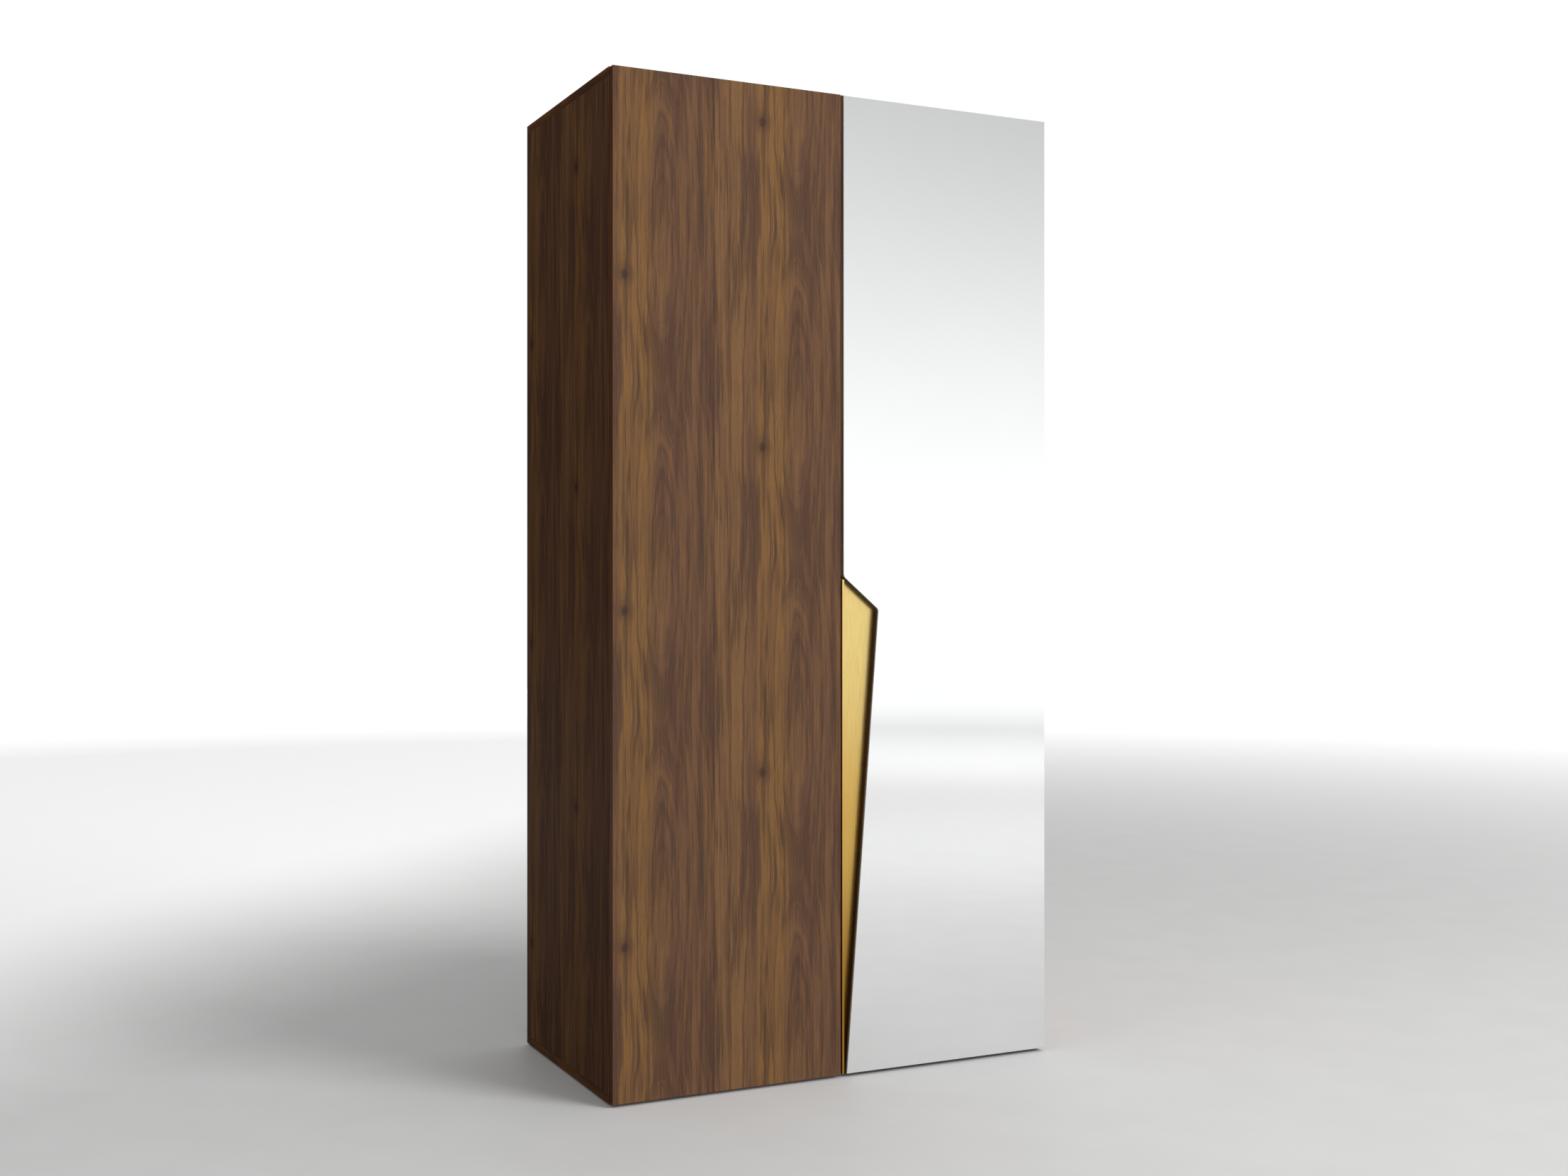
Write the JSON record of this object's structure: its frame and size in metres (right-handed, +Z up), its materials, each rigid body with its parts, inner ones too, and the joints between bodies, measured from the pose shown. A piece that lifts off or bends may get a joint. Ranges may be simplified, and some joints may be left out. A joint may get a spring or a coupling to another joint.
{
  "type": "two-door armoire",
  "caption": "Tall armoire with a plain hinged door, a mirror door with a tapering gilt finger recess, shelves and a hanging rail.",
  "frame": {"origin": "middle of the footprint, on the floor", "axes": "+Z up, +Y from the doors to the back, +X to the right seen from the front"},
  "size_m": [1.04, 0.565, 2.11],
  "materials": {
    "walnut_decor": "satin walnut decor, vertical grain",
    "dark_walnut_decor": "satin dark walnut decor",
    "interior_decor": "satin dark walnut decor inside",
    "back_board": "thin printed board",
    "mirror": "silvered float glass",
    "gilt": "brushed gilt",
    "gilt_screw": "polished brass",
    "nickel": "nickel plated",
    "steel": "zinc plated",
    "screw": "zinc plated, cross recess",
    "cam_zinc": "die-cast zinc",
    "chrome_rail": "polished chrome",
    "beech": "plain beech",
    "black_plastic": "moulded plastic",
    "clear_bumper": "soft translucent"
  },
  "bodies": {
    "carcass": {"adjustable_shelf_1": "interior_decor", "adjustable_shelf_2": "interior_decor", "adjustable_shelf_3": "interior_decor", "adjustable_shelf_4": "interior_decor", "back_panel_left": "back_board", "back_panel_right": "back_board", "bottom_panel": "dark_walnut_decor", "bracket_screws": "screw", "cam_bolts": "steel", "cam_locks": "cam_zinc", "centre_partition": "interior_decor", "door_bumpers": "clear_bumper", "dowels": "beech", "glides": "black_plastic", "hanging_rail": "chrome_rail", "hat_shelf_left": "interior_decor", "hat_shelf_right": "interior_decor", "hinge_arms_left": "nickel", "hinge_arms_right": "nickel", "hinge_plate_screws_left": "screw", "hinge_plate_screws_right": "screw", "hinge_plates_left": "nickel", "hinge_plates_right": "nickel", "rail_screws": "screw", "rail_socket_inner": "nickel", "rail_socket_outer": "nickel", "shelf_pins": "nickel", "side_panel_left": "dark_walnut_decor", "side_panel_right": "dark_walnut_decor", "top_panel": "dark_walnut_decor", "wall_brackets": "steel"},
    "left_door": {"plain_door": "walnut_decor", "hinge_cups_left": "nickel", "hinge_pins_left": "steel", "cup_screws_left": "screw"},
    "right_door": {"mirror_door_carrier": "dark_walnut_decor", "mirror_glass": "mirror", "recess_floor_plate": "gilt", "recess_lip": "gilt", "recess_lip_screws": "gilt_screw", "recess_plate_screws": "gilt_screw", "hinge_cups_right": "nickel", "hinge_pins_right": "steel", "cup_screws_right": "screw"}
  },
  "joints": [
    {"name": "left_door_hinge", "type": "hinge", "parent": "carcass", "child": "left_door", "pos_m": [-0.514, -0.273, 1.057], "axis": [0, 0, -1], "range_deg": [0, 95]},
    {"name": "right_door_hinge", "type": "hinge", "parent": "carcass", "child": "right_door", "pos_m": [0.514, -0.273, 1.057], "axis": [0, 0, 1], "range_deg": [0, 95]}
  ]
}
